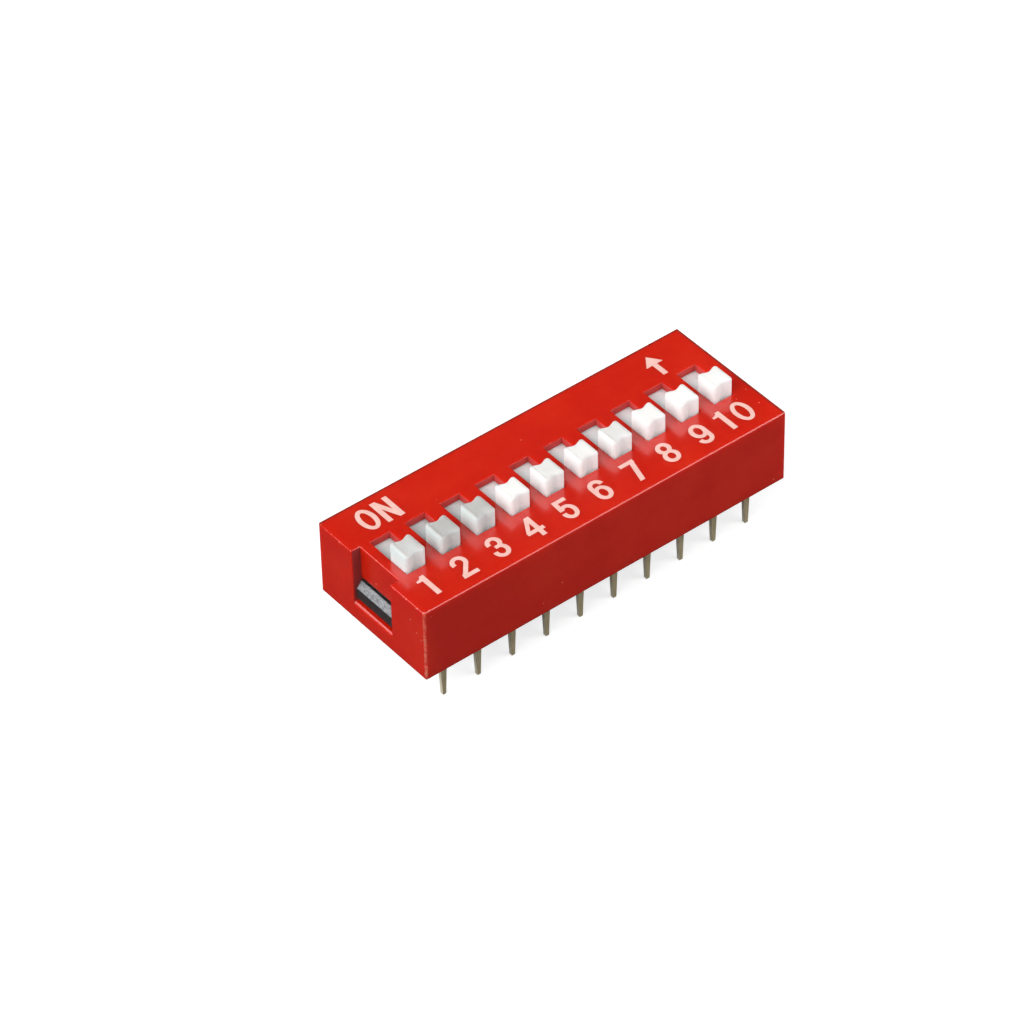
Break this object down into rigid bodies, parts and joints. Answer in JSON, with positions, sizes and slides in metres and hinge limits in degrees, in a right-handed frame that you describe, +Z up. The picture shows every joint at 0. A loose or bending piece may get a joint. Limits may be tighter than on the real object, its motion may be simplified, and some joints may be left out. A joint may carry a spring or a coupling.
{
  "type": "dip switch",
  "caption": "Slide DIP switch: red cover over a black base, white sliders in a row of slots, flat pins in two rows for a circuit board.",
  "frame": {"origin": "centre of the underside of the body, in the plane that seats on the circuit board", "axes": "+X along the row from switch 1 to switch 10, +Y towards the ON side, +Z up out of the board"},
  "size_m": [0.027, 0.0098, 0.0096],
  "materials": {
    "cover_red": "semi-gloss moulded thermoplastic",
    "slider_white": "milky, slightly translucent moulded thermoplastic",
    "base_black": "matt moulded thermoplastic",
    "terminal_metal": "tarnished plated copper alloy strip",
    "contact_bronze": "gold-plated spring strip"
  },
  "bodies": {
    "housing": {"cover": "cover_red", "base": "base_black", "terminal_front_1": "terminal_metal", "terminal_front_2": "terminal_metal", "terminal_front_3": "terminal_metal", "terminal_front_4": "terminal_metal", "terminal_front_5": "terminal_metal", "terminal_front_6": "terminal_metal", "terminal_front_7": "terminal_metal", "terminal_front_8": "terminal_metal", "terminal_front_9": "terminal_metal", "terminal_front_10": "terminal_metal", "terminal_rear_1": "terminal_metal", "terminal_rear_2": "terminal_metal", "terminal_rear_3": "terminal_metal", "terminal_rear_4": "terminal_metal", "terminal_rear_5": "terminal_metal", "terminal_rear_6": "terminal_metal", "terminal_rear_7": "terminal_metal", "terminal_rear_8": "terminal_metal", "terminal_rear_9": "terminal_metal", "terminal_rear_10": "terminal_metal"},
    "switch_1": {"slider_1": "slider_white", "contact_1": "contact_bronze"},
    "switch_2": {"slider_2": "slider_white", "contact_2": "contact_bronze"},
    "switch_3": {"slider_3": "slider_white", "contact_3": "contact_bronze"},
    "switch_4": {"slider_4": "slider_white", "contact_4": "contact_bronze"},
    "switch_5": {"slider_5": "slider_white", "contact_5": "contact_bronze"},
    "switch_6": {"slider_6": "slider_white", "contact_6": "contact_bronze"},
    "switch_7": {"slider_7": "slider_white", "contact_7": "contact_bronze"},
    "switch_8": {"slider_8": "slider_white", "contact_8": "contact_bronze"},
    "switch_9": {"slider_9": "slider_white", "contact_9": "contact_bronze"},
    "switch_10": {"slider_10": "slider_white", "contact_10": "contact_bronze"}
  },
  "joints": [
    {"name": "slide_1", "type": "slide", "parent": "housing", "child": "switch_1", "axis": [0, 1, 0], "range_m": [0, 0.00182]},
    {"name": "slide_2", "type": "slide", "parent": "housing", "child": "switch_2", "axis": [0, 1, 0], "range_m": [0, 0.00182]},
    {"name": "slide_3", "type": "slide", "parent": "housing", "child": "switch_3", "axis": [0, 1, 0], "range_m": [0, 0.00182]},
    {"name": "slide_4", "type": "slide", "parent": "housing", "child": "switch_4", "axis": [0, 1, 0], "range_m": [0, 0.00182]},
    {"name": "slide_5", "type": "slide", "parent": "housing", "child": "switch_5", "axis": [0, 1, 0], "range_m": [0, 0.00182]},
    {"name": "slide_6", "type": "slide", "parent": "housing", "child": "switch_6", "axis": [0, 1, 0], "range_m": [0, 0.00182]},
    {"name": "slide_7", "type": "slide", "parent": "housing", "child": "switch_7", "axis": [0, 1, 0], "range_m": [0, 0.00182]},
    {"name": "slide_8", "type": "slide", "parent": "housing", "child": "switch_8", "axis": [0, 1, 0], "range_m": [0, 0.00182]},
    {"name": "slide_9", "type": "slide", "parent": "housing", "child": "switch_9", "axis": [0, 1, 0], "range_m": [0, 0.00182]},
    {"name": "slide_10", "type": "slide", "parent": "housing", "child": "switch_10", "axis": [0, 1, 0], "range_m": [0, 0.00182]}
  ]
}
